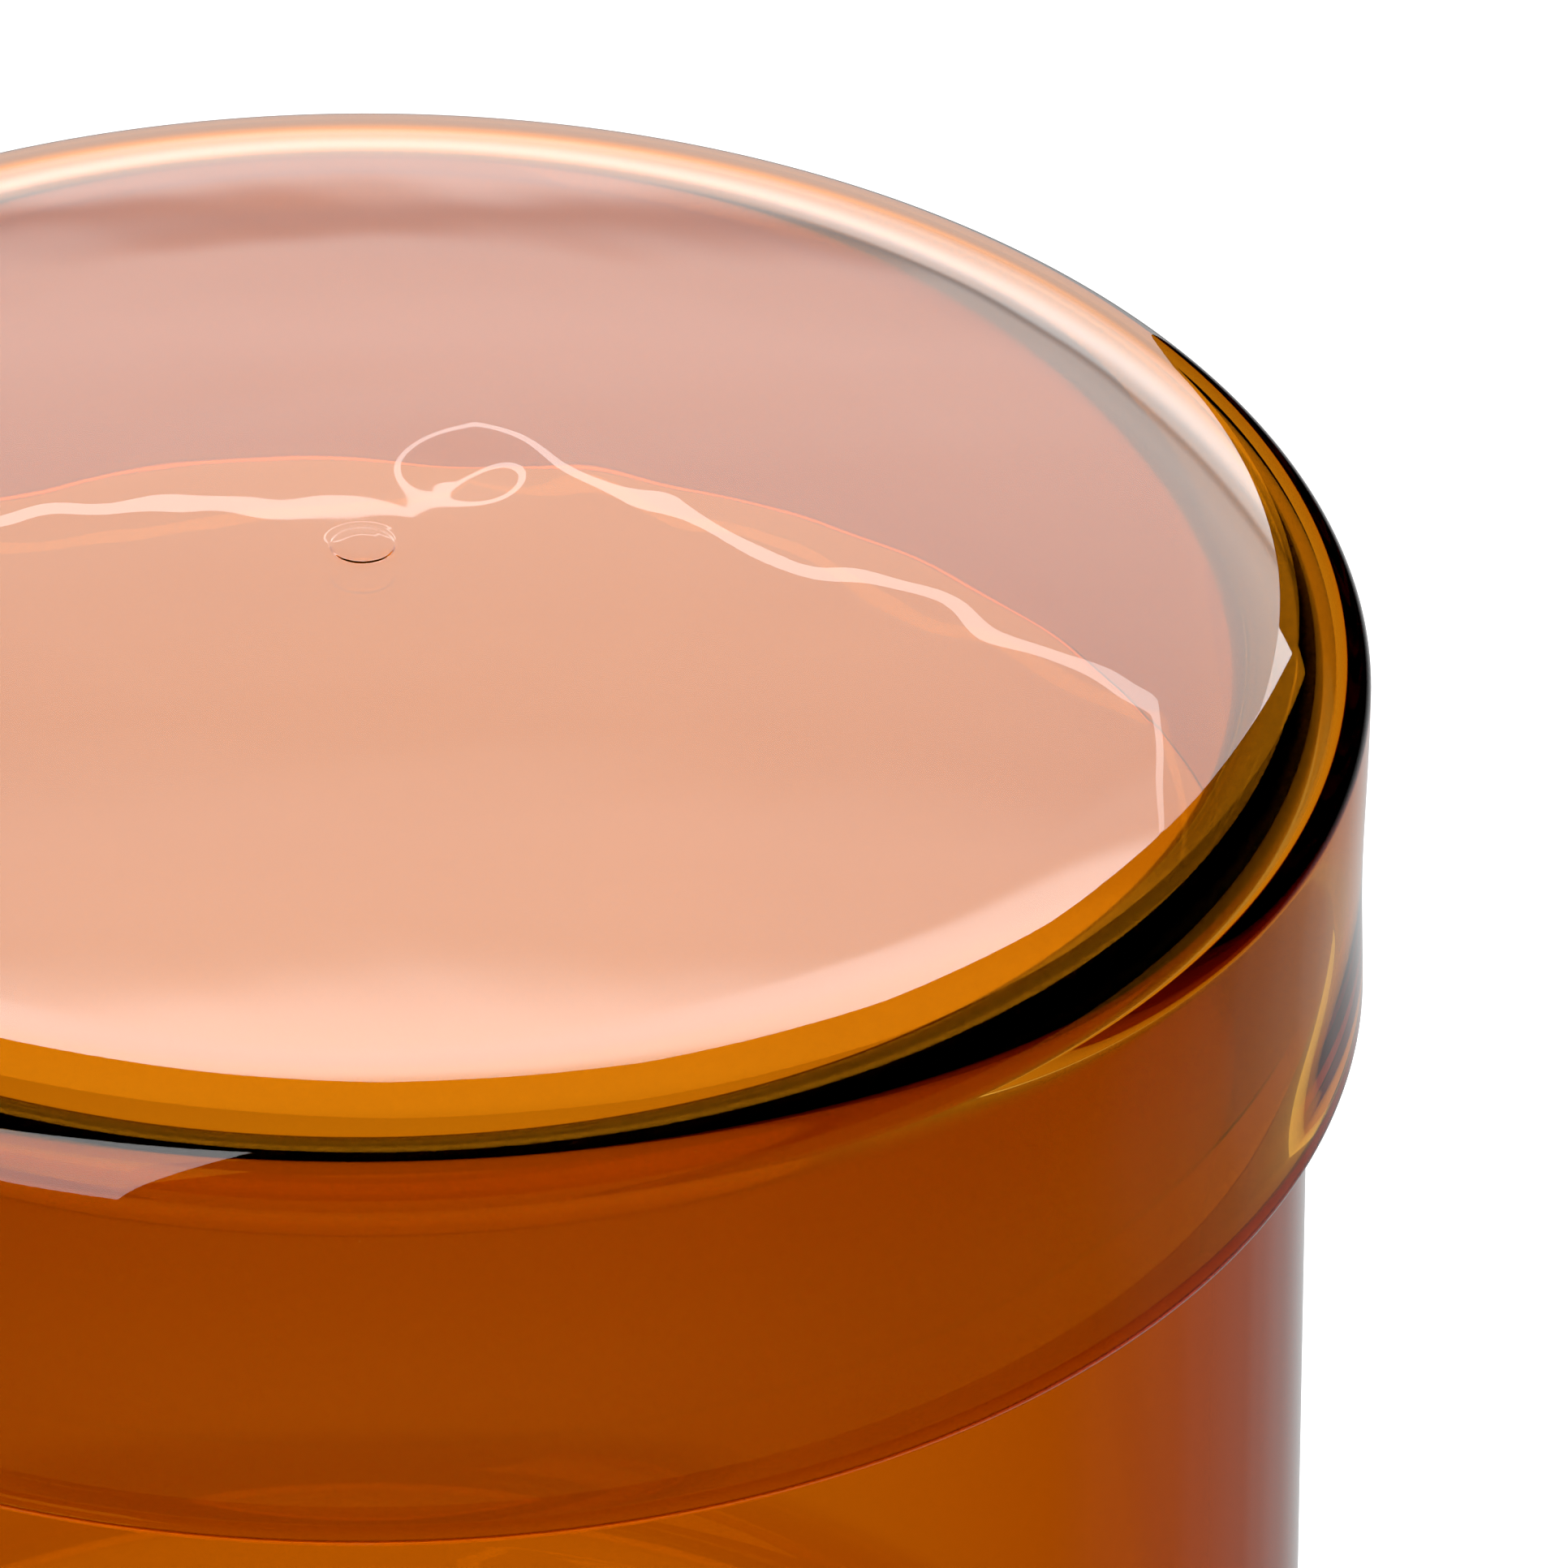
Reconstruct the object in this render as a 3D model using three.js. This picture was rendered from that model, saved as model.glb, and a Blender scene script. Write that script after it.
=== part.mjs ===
// A lidded apothecary jar in amber glass: a straight-sided jar and a cap-shaped lid.
// The lid's skirt drops over the outside of the jar, and the lid rests on the jar's rim.
// Millimetres, +Z up. The origin is the middle of the face that the jar stands on.
import * as THREE from "three";

// ---- the lid ----
const LID_RADIUS = 50; // outside, at the shoulder
const LID_WALL = 2; // of the skirt
const LID_TOP_THICKNESS = 2; // measured straight down, the same all over the dome
const SKIRT_HEIGHT = 18.4; // from the shoulder down to the skirt's rim
const WAIST_DEPTH = 11; // from the shoulder down to where the skirt is narrowest
const WAIST_INSET = 0.25; // how far the skirt draws in there
const RIM_FLARE = 0.13; // how far the skirt comes out again at its rim
const SHOULDER_WIDTH = 9.5; // of the rounded shoulder, measured inwards
const SHOULDER_HEIGHT = 3.9; // of the rounded shoulder, measured upwards
const DOME_RISE = 3.6; // of the low dome over the whole lid
const SEAL_RADIUS = 1.7; // of the little seal mark in the middle of the lid
const SEAL_HEIGHT = 0.08;

// ---- how the lid fits the jar ----
const FIT_CLEARANCE = 0.8; // between the skirt and the jar, on the radius
const SEAT_GAP = 0.15; // between the jar's rim and the lid that rests on it

// ---- the jar ----
const JAR_HEIGHT = 83.6; // from the face it stands on to the top of its rim
const JAR_WALL = 4.5;
const BASE_THICKNESS = 4.5;
const BASE_CORNER_RADIUS = 5; // outside
const BASE_INNER_RADIUS = 4; // inside

// ---- fineness ----
const ROUND_STEPS = 72; // round the axis
const SHOULDER_STEPS = 8;
const DOME_STEPS = 5;
const RIM_STEPS = 8;
const CORNER_STEPS = 4;
const SEAL_STEPS = 3;
const SEAT_STEPS = 200;

// ---- sizes that follow from the others ----
const LID_INNER_RADIUS = LID_RADIUS - LID_WALL;
const JAR_RADIUS = LID_INNER_RADIUS - FIT_CLEARANCE;
const JAR_INNER_RADIUS = JAR_RADIUS - JAR_WALL;
const JAR_RIM_RADIUS = JAR_WALL / 2; // the jar's rim is a full round
const JAR_RIM_MIDDLE = JAR_RADIUS - JAR_RIM_RADIUS; // from the axis to the middle of the wall
const JAR_RIM_CENTRE = JAR_HEIGHT - JAR_RIM_RADIUS; // height of the centre of that round

// The inside of the dome curves as the outside does, so that the roof is equally thick all over.
const DOME_INNER_RISE = DOME_RISE * (LID_INNER_RADIUS / LID_RADIUS) ** 2;

// The outside and the inside of the lid, as caps that start at the shoulder level.
const lidOutside = {
  edge: LID_RADIUS,
  width: SHOULDER_WIDTH,
  height: SHOULDER_HEIGHT,
  rise: DOME_RISE,
};
const lidInside = {
  edge: LID_INNER_RADIUS,
  width: SHOULDER_WIDTH - LID_WALL,
  height: SHOULDER_HEIGHT + DOME_RISE - DOME_INNER_RISE - LID_TOP_THICKNESS,
  rise: DOME_INNER_RISE,
};

const point = (radius, height) => new THREE.Vector2(radius, height);

// Height of a low dome with an elliptical shoulder, above the level where its side starts.
function capHeight(radius, cap) {
  const across = THREE.MathUtils.clamp((radius - (cap.edge - cap.width)) / cap.width, 0, 1);
  return cap.height * Math.sqrt(1 - across ** 2) + cap.rise * (1 - (radius / cap.edge) ** 2);
}

// Points down a cap from a radius near its middle to its edge, closest together where the shoulder turns.
function capPoints(cap, fromRadius) {
  const shoulderStart = cap.edge - cap.width;
  const radii = [];
  for (let i = 0; i < DOME_STEPS; i++) {
    radii.push(THREE.MathUtils.lerp(fromRadius, shoulderStart, i / DOME_STEPS));
  }
  for (let i = 0; i <= SHOULDER_STEPS; i++) {
    radii.push(shoulderStart + cap.width * Math.sin((Math.PI / 2) * (i / SHOULDER_STEPS)));
  }
  return radii.map((radius) => point(radius, capHeight(radius, cap)));
}

// Points on an arc about a centre, between two angles in degrees, where 0 points outwards and 90 up.
function arc(centreRadius, centreHeight, radius, fromDegrees, toDegrees, steps) {
  const points = [];
  for (let i = 0; i <= steps; i++) {
    const angle = THREE.MathUtils.degToRad(THREE.MathUtils.lerp(fromDegrees, toDegrees, i / steps));
    points.push(point(centreRadius + radius * Math.cos(angle), centreHeight + radius * Math.sin(angle)));
  }
  return points;
}

// The seal mark's outline, a shallow button that starts on the dome and ends on the axis.
function sealPoints() {
  const points = [];
  for (let i = 1; i <= SEAL_STEPS; i++) {
    const angle = (Math.PI / 2) * (i / SEAL_STEPS);
    const height = capHeight(0, lidOutside) + SEAL_HEIGHT * Math.sin(angle);
    points.push(point(i < SEAL_STEPS ? SEAL_RADIUS * Math.cos(angle) : 0, height));
  }
  return points;
}

// How far the centre of the jar's round rim is below the shoulder level of a lid that rests on it.
function seatDepth() {
  let headroom = Infinity;
  for (const side of arc(JAR_RIM_MIDDLE, 0, JAR_RIM_RADIUS + SEAT_GAP, 0, 180, SEAT_STEPS)) {
    headroom = Math.min(headroom, capHeight(side.x, lidInside) - side.y);
  }
  return -headroom;
}

// From the middle of the base, up the outside, over the rim and down the inside.
function jarProfile() {
  const floorMiddle = JAR_INNER_RADIUS - BASE_INNER_RADIUS;
  const floorCentre = BASE_THICKNESS + BASE_INNER_RADIUS;
  return [
    point(0, 0),
    ...arc(JAR_RADIUS - BASE_CORNER_RADIUS, BASE_CORNER_RADIUS, BASE_CORNER_RADIUS, -90, 0, CORNER_STEPS),
    ...arc(JAR_RIM_MIDDLE, JAR_RIM_CENTRE, JAR_RIM_RADIUS, 0, 180, RIM_STEPS),
    ...arc(floorMiddle, floorCentre, BASE_INNER_RADIUS, 0, -90, CORNER_STEPS),
    point(0, BASE_THICKNESS),
  ];
}

// From the middle of the inside, down the skirt, round its rim and up over the outside.
// Height 0 is the shoulder level, where the dome meets the skirt.
function lidProfile() {
  const waistRadius = LID_RADIUS - WAIST_INSET;
  const rimHalf = (waistRadius + RIM_FLARE - LID_INNER_RADIUS) / 2;
  return [
    point(0, capHeight(0, lidInside)),
    ...capPoints(lidInside, SEAL_RADIUS),
    ...arc(LID_INNER_RADIUS + rimHalf, rimHalf - SKIRT_HEIGHT, rimHalf, 180, 360, RIM_STEPS),
    point(waistRadius, -WAIST_DEPTH),
    ...capPoints(lidOutside, SEAL_RADIUS).reverse(),
    ...sealPoints(),
  ];
}

// A solid of revolution about +Z.
function turned(name, profile, material) {
  const geometry = new THREE.LatheGeometry(profile, ROUND_STEPS);
  geometry.rotateX(Math.PI / 2);
  const mesh = new THREE.Mesh(geometry, material);
  mesh.name = name;
  return mesh;
}

// ---- the two pieces ----
const jarGlass = new THREE.MeshStandardMaterial({ color: 0xb0600c, roughness: 0.03, metalness: 0 });
const lidGlass = new THREE.MeshStandardMaterial({ color: 0x9c4c06, roughness: 0.03, metalness: 0 });

const jar = turned("jar", jarProfile(), jarGlass);
const lid = turned("lid", lidProfile(), lidGlass);
lid.position.z = JAR_RIM_CENTRE + seatDepth();

const apothecaryJar = new THREE.Group();
apothecaryJar.add(jar, lid);

export default apothecaryJar;
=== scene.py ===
"""A lidded apothecary jar in clear amber glass, on a plain pale floor under soft studio light.

Metres, +Z up. The origin is the middle of the face that the jar stands on.
"""

import math

import bpy
import numpy as np
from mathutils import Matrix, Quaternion, Vector


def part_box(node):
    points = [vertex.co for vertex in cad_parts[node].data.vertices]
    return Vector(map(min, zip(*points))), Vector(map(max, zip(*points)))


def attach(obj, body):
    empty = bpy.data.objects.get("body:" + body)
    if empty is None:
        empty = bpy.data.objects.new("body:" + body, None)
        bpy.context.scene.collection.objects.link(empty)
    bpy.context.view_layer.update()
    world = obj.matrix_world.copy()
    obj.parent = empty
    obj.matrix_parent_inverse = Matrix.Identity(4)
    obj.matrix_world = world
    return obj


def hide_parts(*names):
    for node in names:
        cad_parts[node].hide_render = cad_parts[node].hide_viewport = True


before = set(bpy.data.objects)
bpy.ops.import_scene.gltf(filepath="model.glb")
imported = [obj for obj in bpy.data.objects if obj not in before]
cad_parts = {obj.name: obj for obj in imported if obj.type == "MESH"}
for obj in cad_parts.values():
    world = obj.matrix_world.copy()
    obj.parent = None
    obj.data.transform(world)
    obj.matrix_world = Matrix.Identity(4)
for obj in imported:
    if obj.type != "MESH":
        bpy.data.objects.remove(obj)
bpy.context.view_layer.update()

MM = 0.001
lid_low, lid_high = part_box("lid")
jar_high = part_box("jar")[1]

# ---- the lid ----
LID_RADIUS = lid_high.x
LID_WALL = 2 * MM
LID_TOP_THICKNESS = 2 * MM
SKIRT_HEIGHT = 18.4 * MM
WAIST_DEPTH = 11 * MM
WAIST_INSET = 0.25 * MM
RIM_FLARE = 0.13 * MM
SHOULDER_WIDTH = 9.5 * MM
SHOULDER_HEIGHT = 3.9 * MM
DOME_RISE = 3.6 * MM
SEAL_RADIUS = 1.7 * MM
SEAL_HEIGHT = 0.06 * MM
SEAL_EDGE = 0.22 * MM
SEAL_RINGS = (0.8 * MM, 0.4 * MM, 0)  # radii of the points across its flat top
SHOULDER_LEVEL = lid_low.z + SKIRT_HEIGHT
LID_INNER_RADIUS = LID_RADIUS - LID_WALL
LID_OUTSIDE = (LID_RADIUS, SHOULDER_WIDTH, SHOULDER_HEIGHT, DOME_RISE)
DOME_INNER_RISE = DOME_RISE * (LID_INNER_RADIUS / LID_RADIUS) ** 2
LID_INSIDE = (LID_INNER_RADIUS, SHOULDER_WIDTH - LID_WALL,
              SHOULDER_HEIGHT + DOME_RISE - DOME_INNER_RISE - LID_TOP_THICKNESS, DOME_INNER_RISE)

# ---- the jar ----
JAR_RADIUS = jar_high.x
JAR_HEIGHT = jar_high.z
JAR_WALL = 4.5 * MM
BASE_THICKNESS = 4.5 * MM
BASE_CORNER_RADIUS = 5 * MM
BASE_INNER_RADIUS = 4 * MM
JAR_INNER_RADIUS = JAR_RADIUS - JAR_WALL

# ---- the camera: a long lens that looks down on the lid from the front ----
CAMERA_DISTANCE = 1.3687
CAMERA_PITCH = math.radians(33.18)
CAMERA_ROLL = math.radians(0.367)
CAMERA_LENS = 633.6
AIM_RIGHT = 20.86 * MM
AIM_DOWN = 5.61 * MM

# ---- the lid's unevenness: slopes are rises over runs ----
WAVE_SEED = 7
WAVE_SLOPE = 0.0009
RING_SLOPE = 0.0011
DIMPLE_X = 5.2 * MM
DIMPLE_Y = 6.8 * MM
DIMPLE_SPREAD = 2.0 * MM
DIMPLE_DEPTH = 0.06 * MM
WAVE_LENGTHS = np.linspace(5, 17, 13) * MM
RING_LENGTHS = (4.3 * MM, 6.1 * MM, 9.7 * MM)
EVEN_EDGE = 16 * MM  # from the lid's edge to where the unevenness reaches its full strength

# ---- fineness: distances between points, and steps round each curve ----
ROUND_STEPS = 360
DOME_START = 0.35 * MM
DOME_STEP = DOME_START * 1.5
STRAIGHT_STEP = 0.9 * MM
BASE_STEP = STRAIGHT_STEP * 2
ROOF_TURN_STEPS = 40
TOP_TURN_STEPS = 56
RIM_STEPS = 28
SKIRT_POINTS = 50
SEAL_EDGE_POINTS = 9
FOOT_STEPS = 24
FLOOR_STEPS = 20


# ---------------------------------------------------------------- shapes
def arc(centre, radius, start, stop, steps):
    """Points on a circle, from one angle to another in degrees, 0 outwards and 90 up."""
    angles = np.radians(np.linspace(start, stop, steps + 1))
    return np.column_stack([centre[0] + radius * np.cos(angles), centre[1] + radius * np.sin(angles)])


def line(start, stop, step):
    """Points along a straight line, with its two ends left out."""
    start, stop = np.asarray(start, float), np.asarray(stop, float)
    count = max(2, math.ceil(np.linalg.norm(stop - start) / step))
    return start + (stop - start) * (np.arange(1, count) / count)[:, None]


def cap_height(radius, edge, width, height, rise):
    """Height of a low dome with an elliptical shoulder, above the level where its side starts."""
    across = np.clip((radius - (edge - width)) / width, 0, 1)
    return height * np.sqrt(1 - across**2) + rise * (1 - (radius / edge) ** 2)


def cap_points(edge, width, height, rise, start, dome_step, shoulder_steps):
    """Points down a cap, from a radius near its middle to its edge."""
    dome = np.arange(start, edge - width, dome_step)
    turn = np.sin(np.linspace(0, math.pi / 2, shoulder_steps + 1))
    radii = np.concatenate([dome, edge - width + width * turn])
    return np.column_stack([radii, cap_height(radii, edge, width, height, rise)])


def smooth(share):
    """A share from 0 to 1 that starts and ends gently."""
    share = np.clip(share, 0, 1)
    return share * share * (3 - 2 * share)


def skirt_radius(depth):
    """Outside radius of the skirt at a depth below the shoulder level."""
    waist = WAIST_INSET * smooth(depth / WAIST_DEPTH)
    flare = RIM_FLARE * smooth((depth - WAIST_DEPTH) / (SKIRT_HEIGHT - WAIST_DEPTH))
    return LID_RADIUS - waist + flare


def lid_profile():
    """From the middle of the inside, down the skirt, round its rim and up over the outside."""
    rim_half = (skirt_radius(SKIRT_HEIGHT) - LID_INNER_RADIUS) / 2
    rim_centre = (LID_INNER_RADIUS + rim_half, rim_half - SKIRT_HEIGHT)
    roof = cap_points(*LID_INSIDE, DOME_START, DOME_STEP, ROOF_TURN_STEPS)
    rim = arc(rim_centre, rim_half, 180, 360, RIM_STEPS)
    depths = np.linspace(SKIRT_HEIGHT - rim_half, 0, SKIRT_POINTS)[1:-1]
    skirt = np.column_stack([skirt_radius(depths), -depths])
    top = cap_points(*LID_OUTSIDE, SEAL_RADIUS, DOME_STEP, TOP_TURN_STEPS)[::-1]
    seal_edge = SEAL_RADIUS - np.linspace(0, SEAL_EDGE, SEAL_EDGE_POINTS)[1:]
    seal_radii = np.concatenate([seal_edge, SEAL_RINGS])
    seal_rise = SEAL_HEIGHT * smooth((SEAL_RADIUS - seal_radii) / SEAL_EDGE)
    seal = np.column_stack([seal_radii, cap_height(seal_radii, *LID_OUTSIDE) + seal_rise])
    points = np.vstack([
        [[0, cap_height(0, *LID_INSIDE)]],
        roof,
        line(roof[-1], rim[0], STRAIGHT_STEP),
        rim,
        skirt,
        top,
        seal,
    ])
    points[:, 1] += SHOULDER_LEVEL
    return points


def uneven(points):
    """The lid's points with the slight waves, rings and dimple that the outside of its top has."""
    x, y, z = points.T
    radius = np.hypot(x, y)
    above_roof = z - SHOULDER_LEVEL - cap_height(np.minimum(radius, LID_INNER_RADIUS), *LID_INSIDE)
    share = smooth(above_roof / MM) * smooth((LID_RADIUS - radius) / EVEN_EDGE)
    waves = np.random.default_rng(WAVE_SEED)
    rise = np.zeros(len(points))
    for length in WAVE_LENGTHS:
        turn, phase = waves.uniform(0, 2 * math.pi, 2)
        along = x * math.cos(turn) + y * math.sin(turn)
        rise += WAVE_SLOPE * length / (2 * math.pi) * np.sin(2 * math.pi * along / length + phase)
    for length in RING_LENGTHS:
        rise += RING_SLOPE * length / (2 * math.pi) * np.cos(2 * math.pi * radius / length)
    away = ((x - DIMPLE_X) ** 2 + (y - DIMPLE_Y) ** 2) / (2 * DIMPLE_SPREAD**2)
    rise -= DIMPLE_DEPTH * np.exp(-away)
    return np.column_stack([x, y, z + share * rise])


def jar_profile():
    """From the middle of the base, up the outside, over the rim and down the inside."""
    rim_radius = JAR_WALL / 2
    foot = arc((JAR_RADIUS - BASE_CORNER_RADIUS, BASE_CORNER_RADIUS), BASE_CORNER_RADIUS, -90, 0, FOOT_STEPS)
    rim = arc((JAR_RADIUS - rim_radius, JAR_HEIGHT - rim_radius), rim_radius, 0, 180, RIM_STEPS)
    floor_centre = (JAR_INNER_RADIUS - BASE_INNER_RADIUS, BASE_THICKNESS + BASE_INNER_RADIUS)
    floor = arc(floor_centre, BASE_INNER_RADIUS, 0, -90, FLOOR_STEPS)
    return np.vstack([
        [[0, 0]],
        line((0, 0), foot[0], BASE_STEP),
        foot,
        line(foot[-1], rim[0], STRAIGHT_STEP),
        rim,
        line(rim[-1], floor[0], STRAIGHT_STEP),
        floor,
        line(floor[-1], (0, BASE_THICKNESS), BASE_STEP),
        [[0, BASE_THICKNESS]],
    ])


def turned(name, profile, shape=None):
    """A closed solid of revolution whose profile starts and ends on the axis."""
    rings = profile[1:-1]
    turns = np.arange(ROUND_STEPS) * (2 * math.pi / ROUND_STEPS)
    radius = np.repeat(rings[:, :1], ROUND_STEPS, axis=1)
    height = np.repeat(rings[:, 1:], ROUND_STEPS, axis=1)
    points = np.stack([radius * np.cos(turns), radius * np.sin(turns), height], axis=-1).reshape(-1, 3)
    first, last = [[0, 0, profile[0][1]]], [[0, 0, profile[-1][1]]]
    points = np.vstack([points, first, last])
    if shape is not None:
        points = shape(points)
    grid = np.arange(len(rings) * ROUND_STEPS).reshape(len(rings), ROUND_STEPS)
    across = np.roll(grid, -1, axis=1)
    quads = np.stack([grid[:-1], across[:-1], across[1:], grid[1:]], axis=-1).reshape(-1, 4)
    start, end = len(points) - 2, len(points) - 1
    fans = [(start, b, a) for a, b in zip(grid[0], across[0])]
    fans += [(end, a, b) for a, b in zip(grid[-1], across[-1])]
    mesh = bpy.data.meshes.new(name)
    mesh.from_pydata(points.tolist(), [], quads.tolist() + [[int(i) for i in fan] for fan in fans])
    mesh.validate()
    mesh.shade_smooth()
    piece = bpy.data.objects.new(name, mesh)
    bpy.context.scene.collection.objects.link(piece)
    return piece


# ---------------------------------------------------------------- materials
def maths(tree, operation, *values):
    """A Math node whose inputs are numbers or other nodes' outputs."""
    node = tree.nodes.new("ShaderNodeMath")
    node.operation = operation
    for socket, value in zip(node.inputs, values):
        if isinstance(value, (int, float)):
            socket.default_value = value
        else:
            tree.links.new(value, socket)
    return node.outputs["Value"]


def rescaled(tree, value, low, high, to_low, to_high):
    """A value taken from one range to another, and kept inside it."""
    node = tree.nodes.new("ShaderNodeMapRange")
    for name, number in zip(("From Min", "From Max", "To Min", "To Max"), (low, high, to_low, to_high)):
        node.inputs[name].default_value = number
    tree.links.new(value, node.inputs["Value"])
    return node.outputs["Result"]


def noise(tree, place, scale, detail, stretch=(1, 1, 1)):
    """Smooth noise, from 0 to 1, in the object's own coordinates."""
    size = tree.nodes.new("ShaderNodeMapping")
    size.inputs["Scale"].default_value = stretch
    tree.links.new(place, size.inputs["Vector"])
    node = tree.nodes.new("ShaderNodeTexNoise")
    node.inputs["Scale"].default_value = scale
    node.inputs["Detail"].default_value = detail
    tree.links.new(size.outputs["Vector"], node.inputs["Vector"])
    return node.outputs["Fac"]


def pits(tree, place, spacing, size):
    """Tiny pits and bubbles that break the surface: 1 in the middle of one, 0 between them."""
    node = tree.nodes.new("ShaderNodeTexVoronoi")
    node.inputs["Scale"].default_value = 1 / spacing
    tree.links.new(place, node.inputs["Vector"])
    return rescaled(tree, node.outputs["Distance"], 0, size / spacing, 1, 0)


def glass(name, ior, absorbed, streaks):
    """Clear glass that colours the light by how far it travels through it.

    absorbed is what a millimetre takes from red, green and blue, as a natural logarithm.
    streaks is how the fine drawn lines in the surface are stretched along X, Y and Z.
    """
    strongest = max(absorbed)
    tint = [1 - share / strongest for share in absorbed]
    material = bpy.data.materials.new(name)
    material.use_nodes = True
    tree = material.node_tree
    nodes, links = tree.nodes, tree.links
    surface = nodes["Principled BSDF"]
    surface.inputs["Base Color"].default_value = (1, 1, 1, 1)
    surface.inputs["Transmission Weight"].default_value = 1
    surface.inputs["IOR"].default_value = ior
    body = nodes.new("ShaderNodeVolumeAbsorption")
    body.inputs["Color"].default_value = (*tint, 1)
    body.inputs["Density"].default_value = strongest / MM
    links.new(body.outputs["Volume"], nodes["Material Output"].inputs["Volume"])
    place = nodes.new("ShaderNodeTexCoord").outputs["Object"]
    film = nodes.new("ShaderNodeMix")
    film.data_type = "RGBA"
    film.inputs["A"].default_value = (1, 1, 1, 1)
    film.inputs["B"].default_value = (*FILM_COLOUR, 1)
    clouds = noise(tree, place, FILM_SCALE, 6, FILM_STRETCH)
    links.new(rescaled(tree, clouds, *FILM_RANGE, 0, 1), film.inputs["Factor"])
    links.new(film.outputs["Result"], surface.inputs["Base Color"])
    smears = noise(tree, place, SMEAR_SCALE, 5, SMEAR_STRETCH)
    smeared = rescaled(tree, smears, *SMEAR_RANGE, 0, SMEAR_ROUGHNESS)
    specks = pits(tree, place, PIT_SPACING, PIT_SIZE)
    pitted = maths(tree, "MULTIPLY", specks, PIT_ROUGHNESS)
    links.new(maths(tree, "ADD", smeared, pitted), surface.inputs["Roughness"])
    drawn = maths(tree, "MULTIPLY", noise(tree, place, DRAWN_SCALE, 3, streaks), DRAWN_HEIGHT)
    sunk = maths(tree, "MULTIPLY", specks, -PIT_DEPTH)
    relief = nodes.new("ShaderNodeBump")
    relief.inputs["Strength"].default_value = 1
    relief.inputs["Distance"].default_value = 1
    links.new(maths(tree, "ADD", drawn, sunk), relief.inputs["Height"])
    links.new(relief.outputs["Normal"], surface.inputs["Normal"])
    return material


def glowing(name, strength):
    """An evenly white light."""
    material = bpy.data.materials.new(name)
    material.use_nodes = True
    nodes, links = material.node_tree.nodes, material.node_tree.links
    nodes.clear()
    light = nodes.new("ShaderNodeEmission")
    light.inputs["Color"].default_value = (1, 1, 1, 1)
    light.inputs["Strength"].default_value = strength
    out = nodes.new("ShaderNodeOutputMaterial")
    links.new(light.outputs["Emission"], out.inputs["Surface"])
    return material


# ---------------------------------------------------------------- the pieces
GLASS_IOR = 1.5
LID_AMBER = (0.19, 0.44, 1.3)
# The jar's absorption is stronger than its amber glass alone. Part of it is painted shadow: the amber shade
# the jar casts on the floor beneath it, seen through its walls and base.
JAR_AMBER_AND_PAINTED_SHADOW = (0.116, 0.275, 0.85)
FILM_COLOUR = (0.96, 0.94, 0.91)
FILM_SCALE = 26
FILM_STRETCH = (1, 2.2, 1)
FILM_RANGE = (0.5, 0.74)  # of the noise, from no film to the whole of it
SMEAR_SCALE = 38
SMEAR_STRETCH = (1, 1.7, 1)
SMEAR_RANGE = (0.52, 0.72)
SMEAR_ROUGHNESS = 0.03
PIT_SPACING = 5 * MM
PIT_SIZE = 0.09 * MM
PIT_ROUGHNESS = 0.3
PIT_DEPTH = 0.004 * MM
DRAWN_SCALE = 220
DRAWN_HEIGHT = 0.0002 * MM
LID_STREAKS = (1, 1, 1)
JAR_STREAKS = (1, 1, 0.12)
lid_glass = glass("lid_glass", GLASS_IOR, LID_AMBER, LID_STREAKS)
jar_glass = glass("jar_glass", GLASS_IOR, JAR_AMBER_AND_PAINTED_SHADOW, JAR_STREAKS)

lid = turned("glass_lid", lid_profile(), uneven)
lid.data.materials.append(lid_glass)
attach(lid, "lid_body")
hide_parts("lid")

jar = turned("glass_jar", jar_profile())
jar.data.materials.append(jar_glass)
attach(jar, "jar_body")
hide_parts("jar")


# ---------------------------------------------------------------- the studio
def board(name, corners, material):
    """A flat board with these corners."""
    mesh = bpy.data.meshes.new(name)
    mesh.from_pydata([tuple(c) for c in corners], [], [tuple(range(len(corners)))])
    mesh.materials.append(material)
    piece = bpy.data.objects.new(name, mesh)
    bpy.context.scene.collection.objects.link(piece)
    return piece


def ramp(tree, value, stops):
    """Greys that change smoothly with a value, from (value, grey) stops."""
    low, high = stops[0][0], stops[-1][0]
    node = tree.nodes.new("ShaderNodeValToRGB")
    band = node.color_ramp
    band.interpolation = "EASE"
    while len(band.elements) < len(stops):
        band.elements.new(0.5)
    for element, (place, grey) in zip(band.elements, stops):
        element.position = (place - low) / (high - low)
        element.color = (grey, grey, grey, 1)
    tree.links.new(rescaled(tree, value, low, high, 0, 1), node.inputs["Fac"])
    return node.outputs["Color"]


def soft(name, strength, stops):
    """A white light that grows stronger and weaker smoothly with height, from (height, share) stops."""
    material = glowing(name, strength)
    tree = material.node_tree
    light = next(node for node in tree.nodes if node.type == "EMISSION")
    split = tree.nodes.new("ShaderNodeSeparateXYZ")
    tree.links.new(tree.nodes.new("ShaderNodeTexCoord").outputs["Object"], split.inputs["Vector"])
    tree.links.new(ramp(tree, split.outputs["Z"], stops), light.inputs["Color"])
    return material


# The floor is plain white, and a little below the jar so that no two faces coincide.
FLOOR_HALF = 4.0
FLOOR_GLOW = 1.47
FLOOR_DROP = 0.2 * MM
FLOOR_CORNERS = [
    (-FLOOR_HALF, -FLOOR_HALF, -FLOOR_DROP),
    (FLOOR_HALF, -FLOOR_HALF, -FLOOR_DROP),
    (FLOOR_HALF, FLOOR_HALF, -FLOOR_DROP),
    (-FLOOR_HALF, FLOOR_HALF, -FLOOR_DROP),
]
floor = board("floor", FLOOR_CORNERS, glowing("floor_glow", FLOOR_GLOW))
floor.visible_glossy = False

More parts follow.
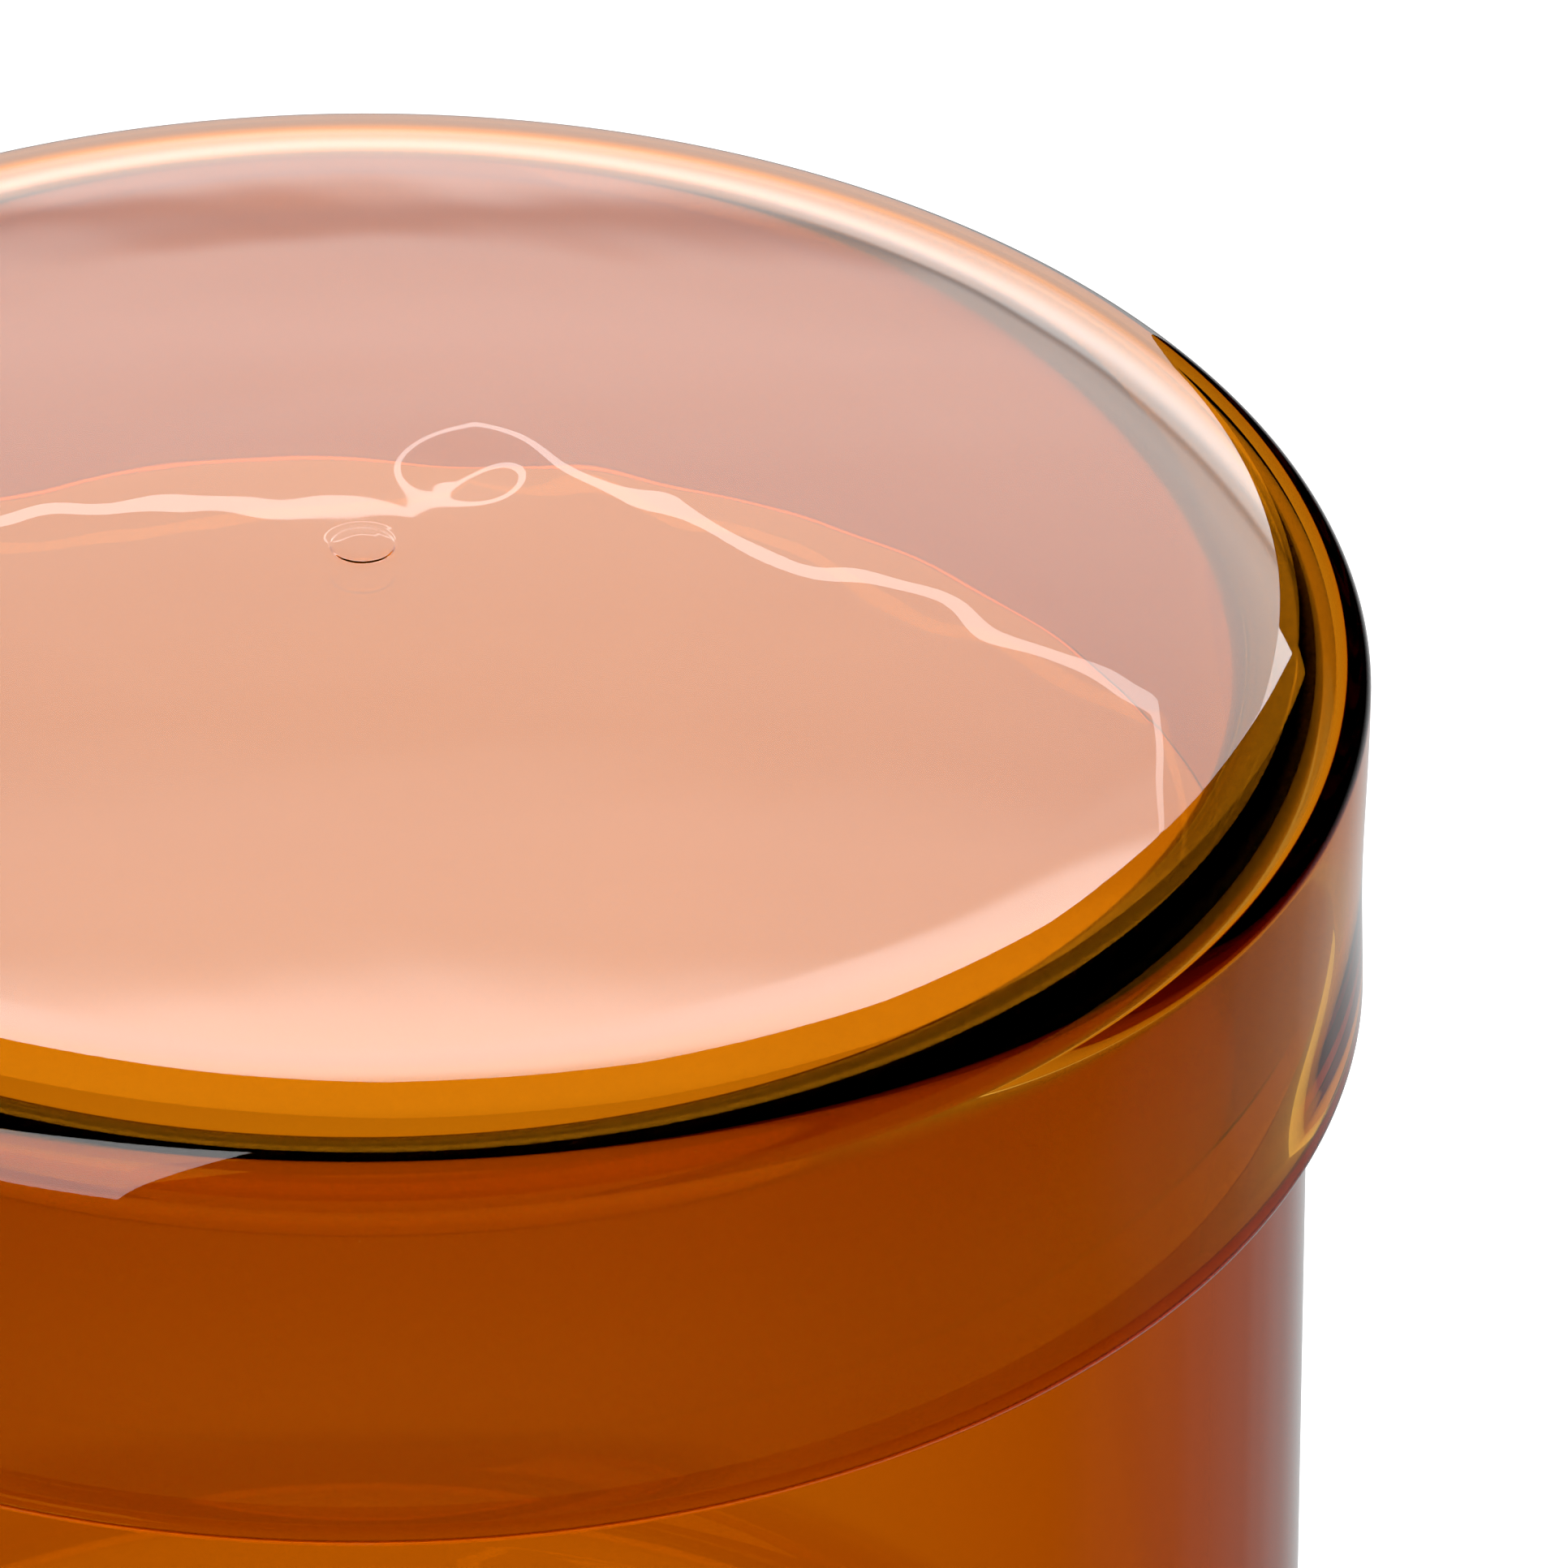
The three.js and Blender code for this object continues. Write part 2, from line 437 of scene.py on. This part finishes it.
# Behind the jar stand a lower and an upper white screen, with a narrow gap between them.
# A strip light behind the gap shows as a bright line in the lid's top.
# The outlines are in metres across and up. The glows are (height in metres, share of the strength) stops.
SCREEN_DISTANCE = 1.0
STRIP_DISTANCE = 1.01
LOWER_SCREEN = [
    (-1.2, -0.3), (0.2, -0.3), (0.3, 0.1), (0.48, 0.48), (0.6, 0.78), (0.61, 1.12),
    (0.03, 0.645), (0.014, 0.688), (-1.2, 0.858),
]
UPPER_SCREEN = [
    (-1.2, 0.87), (0.014, 0.7), (0.03, 0.657), (0.61, 1.135), (0.62, 1.45), (0.54, 1.8),
    (0.3, 2.04), (0.02, 2.03), (-0.24, 1.81), (-0.6, 1.5), (-1.2, 1.3),
]
STRIP = [(-1.2, 0.6), (0.61, 0.6), (0.61, 1.2), (-1.2, 0.9)]
LOWER_STRENGTH = 5.6
UPPER_STRENGTH = 9.0
STRIP_STRENGTH = 7.0
LOWER_GLOW = [
    (-0.3, 0.12), (0.1, 0.22), (0.22, 0.52), (0.35, 1.0), (0.43, 0.72), (0.46, 0.34),
    (0.5, 0.6), (0.56, 0.68), (1.2, 0.7),
]
UPPER_GLOW = [
    (0.65, 0.41), (0.88, 0.42), (1.0, 0.5), (1.09, 0.52), (1.22, 0.9), (1.4, 1.0),
    (1.75, 0.95), (2.04, 0.6),
]


def upright(name, outline, distance, material):
    """An upright board this far behind the jar, which the camera doesn't see."""
    piece = board(name, [(x, distance, z) for x, z in outline], material)
    piece.visible_camera = False
    return piece


lower_glow = soft("lower_glow", LOWER_STRENGTH, LOWER_GLOW)
upright("lower_screen", LOWER_SCREEN, SCREEN_DISTANCE, lower_glow)
upper_glow = soft("upper_glow", UPPER_STRENGTH, UPPER_GLOW)
upright("upper_screen", UPPER_SCREEN, SCREEN_DISTANCE, upper_glow)
upright("strip", STRIP, STRIP_DISTANCE, glowing("strip_glow", STRIP_STRENGTH))

# A light overhead on the left, seen in the lid's front shoulder.
SIDE_CORNERS = [(-0.1, -0.07, 1), (-0.28, -0.07, 1), (-1.3, -0.2, 1), (-1.3, -1.3, 1), (-0.68, -1.3, 1)]
SIDE_STRENGTH = 4.0
side = board("side_light", SIDE_CORNERS, glowing("side_glow", SIDE_STRENGTH))
side.visible_camera = False


# Reflections don't see the floor. Below, the room stands in for it there, and above the room is dark.
# The stops are (how far a direction lies towards the back of the jar, grey), where 0 is the side.
SHEEN = [
    (0.0, 0.0), (0.26, 0.05), (0.45, 0.09), (0.55, 0.15), (0.73, 0.22), (0.79, 0.3),
    (0.88, 0.4), (1.0, 0.62),
]
SHEEN_FOOT = (-0.45, -0.3)  # the reflected room fades in as a direction drops through these heights
LEAST_FLAT = 0.001  # keeps the division safe for a direction straight up or down


def room():
    """A white room, which reflections see only downwards and towards the back of the jar."""
    world = bpy.data.worlds.new("studio")
    world.use_nodes = True
    tree = world.node_tree
    tree.nodes.clear()
    where = tree.nodes.new("ShaderNodeTexCoord")
    split = tree.nodes.new("ShaderNodeSeparateXYZ")
    tree.links.new(where.outputs["Generated"], split.inputs["Vector"])
    x, y, z = split.outputs["X"], split.outputs["Y"], split.outputs["Z"]
    squares = maths(tree, "ADD", maths(tree, "MULTIPLY", x, x), maths(tree, "MULTIPLY", y, y))
    flat = maths(tree, "MAXIMUM", maths(tree, "SQRT", squares), LEAST_FLAT)
    sheen = ramp(tree, maths(tree, "DIVIDE", y, flat), SHEEN)
    dim = tree.nodes.new("ShaderNodeBackground")
    tree.links.new(sheen, dim.inputs["Color"])
    tree.links.new(rescaled(tree, z, *SHEEN_FOOT, 1, 0), dim.inputs["Strength"])
    bright = tree.nodes.new("ShaderNodeBackground")
    bright.inputs["Color"].default_value = (1, 1, 1, 1)
    bright.inputs["Strength"].default_value = FLOOR_GLOW
    path = tree.nodes.new("ShaderNodeLightPath")
    mix = tree.nodes.new("ShaderNodeMixShader")
    tree.links.new(path.outputs["Is Glossy Ray"], mix.inputs["Fac"])
    tree.links.new(bright.outputs["Background"], mix.inputs[1])
    tree.links.new(dim.outputs["Background"], mix.inputs[2])
    out = tree.nodes.new("ShaderNodeOutputWorld")
    tree.links.new(mix.outputs["Shader"], out.inputs["Surface"])
    return world


bpy.context.scene.world = room()

# ---------------------------------------------------------------- the camera
eye = Vector((0, -math.cos(CAMERA_PITCH), math.sin(CAMERA_PITCH))) * CAMERA_DISTANCE
eye.z += SHOULDER_LEVEL
picture_up = Vector((0, math.sin(CAMERA_PITCH), math.cos(CAMERA_PITCH)))
aim = Vector((AIM_RIGHT, 0, SHOULDER_LEVEL)) - picture_up * AIM_DOWN
lens = bpy.data.cameras.new("camera")
lens.lens = CAMERA_LENS
lens.sensor_width = 36
lens.clip_start = 0.1
lens.clip_end = 20
camera = bpy.data.objects.new("camera", lens)
camera.location = eye
camera.rotation_mode = "QUATERNION"
camera.rotation_quaternion = (aim - eye).to_track_quat("-Z", "Y") @ Quaternion((0, 0, 1), CAMERA_ROLL)
bpy.context.scene.collection.objects.link(camera)
bpy.context.scene.camera = camera

scene = bpy.context.scene
scene.view_settings.view_transform = "Standard"
scene.cycles.max_bounces = 24
scene.cycles.transmission_bounces = 24
scene.cycles.glossy_bounces = 12
